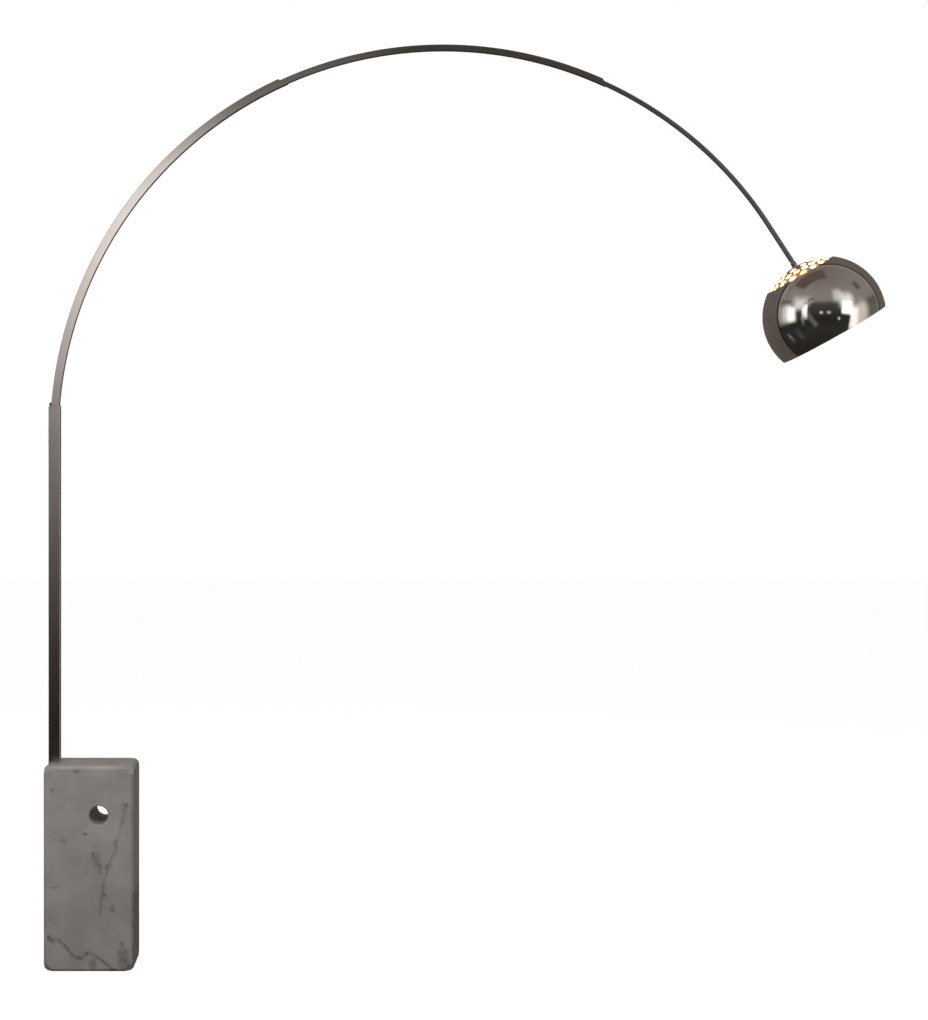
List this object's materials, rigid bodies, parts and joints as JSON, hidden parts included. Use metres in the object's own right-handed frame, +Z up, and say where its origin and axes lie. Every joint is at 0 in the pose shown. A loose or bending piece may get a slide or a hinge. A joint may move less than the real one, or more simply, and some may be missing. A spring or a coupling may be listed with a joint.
{
  "type": "arc floor lamp",
  "caption": "Floor lamp with a marble block, an upright steel stem, a telescoping steel arc and a domed aluminium reflector with a perforated cap.",
  "frame": {"origin": "middle of the marble block's underside, on the floor", "axes": "+Z up; +X from the block towards the reflector, in the plane of the arc; +Y away from a viewer who sees the reflector on the right"},
  "size_m": [2.2723, 0.326, 2.5005],
  "materials": {
    "marble": "polished grey-white marble with darker veins",
    "satin_steel": "satin, brushed along the length",
    "zinc_steel": "zinc plated",
    "polished_aluminium": "spun and polished, nearly a mirror",
    "brass": "plain turned",
    "nylon": "natural, matte",
    "black_plastic": "moulded, matte",
    "rubber": "matte",
    "cable": "sheathed flexible cable",
    "porcelain": "white glaze",
    "opal_glass": "opal, lit from inside"
  },
  "bodies": {
    "stand": {"marble_base": "marble", "stem_tube": "satin_steel", "stem_foot_plug": "black_plastic", "stem_bolt_upper": "zinc_steel", "stem_bolt_lower": "zinc_steel", "marble_sleeve_upper": "brass", "marble_sleeve_lower": "brass", "cable_grommet": "rubber", "terminal_block": "nylon", "supply_cable_stem": "cable", "supply_cable_arc_1": "cable", "arc_section_1": "satin_steel", "arc_wedge": "black_plastic", "arc_spacer": "zinc_steel", "arc_nut_plate": "zinc_steel", "arc_screw_upper": "zinc_steel", "arc_screw_lower": "zinc_steel", "clamp_plate_1": "zinc_steel"},
    "lock_screw_1": {"lock_screw_1": "zinc_steel"},
    "arc_2": {"arc_section_2": "satin_steel", "slide_pad_2": "nylon", "clamp_plate_2": "zinc_steel", "supply_cable_arc_2": "cable"},
    "lock_screw_2": {"lock_screw_2": "zinc_steel"},
    "arc_3": {"arc_section_3": "satin_steel", "slide_pad_3": "nylon", "arm_end_fitting": "satin_steel", "supply_cable_arc_3": "cable"},
    "head": {"head_nipple": "zinc_steel", "swivel_washer": "nylon", "reflector_cap": "polished_aluminium", "cap_lock_nut": "brass", "lampholder_cover": "black_plastic", "lampholder_body": "porcelain", "lampholder_sleeve": "brass", "lampholder_contact": "brass", "supply_cable_head": "cable", "bulb_base": "brass", "bulb_insulator": "black_plastic", "bulb_contact": "zinc_steel", "bulb_glass": "opal_glass"},
    "seat": {"reflector_seat_ring": "nylon"},
    "reflector": {"reflector_bowl": "polished_aluminium"}
  },
  "joints": [
    {"name": "arc_2_slide", "type": "hinge", "parent": "stand", "child": "arc_2", "pos_m": [0.9552, 0, 1.4359], "axis": [0, -1, 0], "range_deg": [0, 40], "deforming": ["supply_cable_arc_1"]},
    {"name": "arc_3_slide", "type": "hinge", "parent": "arc_2", "child": "arc_3", "pos_m": [0.9552, 0, 1.4359], "axis": [0, -1, 0], "range_deg": [0, 30], "deforming": ["supply_cable_arc_2"]},
    {"name": "head_swivel", "type": "hinge", "parent": "arc_3", "child": "head", "pos_m": [1.99119, 0, 1.76198], "axis": [-0.5, 0, 0.866], "range_deg": [-170, 170]},
    {"name": "reflector_tilt", "type": "hinge", "parent": "head", "child": "seat", "pos_m": [1.99119, 0, 1.76198], "axis": [0, 1, 0], "range_deg": [-20, 20]},
    {"name": "reflector_spin", "type": "hinge", "parent": "seat", "child": "reflector", "pos_m": [1.99119, 0, 1.76198], "axis": [-0.5, 0, 0.866], "continuous": true},
    {"name": "lock_screw_1_turn", "type": "hinge", "parent": "stand", "child": "lock_screw_1", "pos_m": [0.47175, 0, 2.38473], "axis": [-0.454, 0, 0.891], "range_deg": [0, 720]},
    {"name": "lock_screw_2_turn", "type": "hinge", "parent": "arc_2", "child": "lock_screw_2", "pos_m": [1.3698, 0, 2.41265], "axis": [0.3907, 0, 0.9205], "range_deg": [0, 720]}
  ]
}
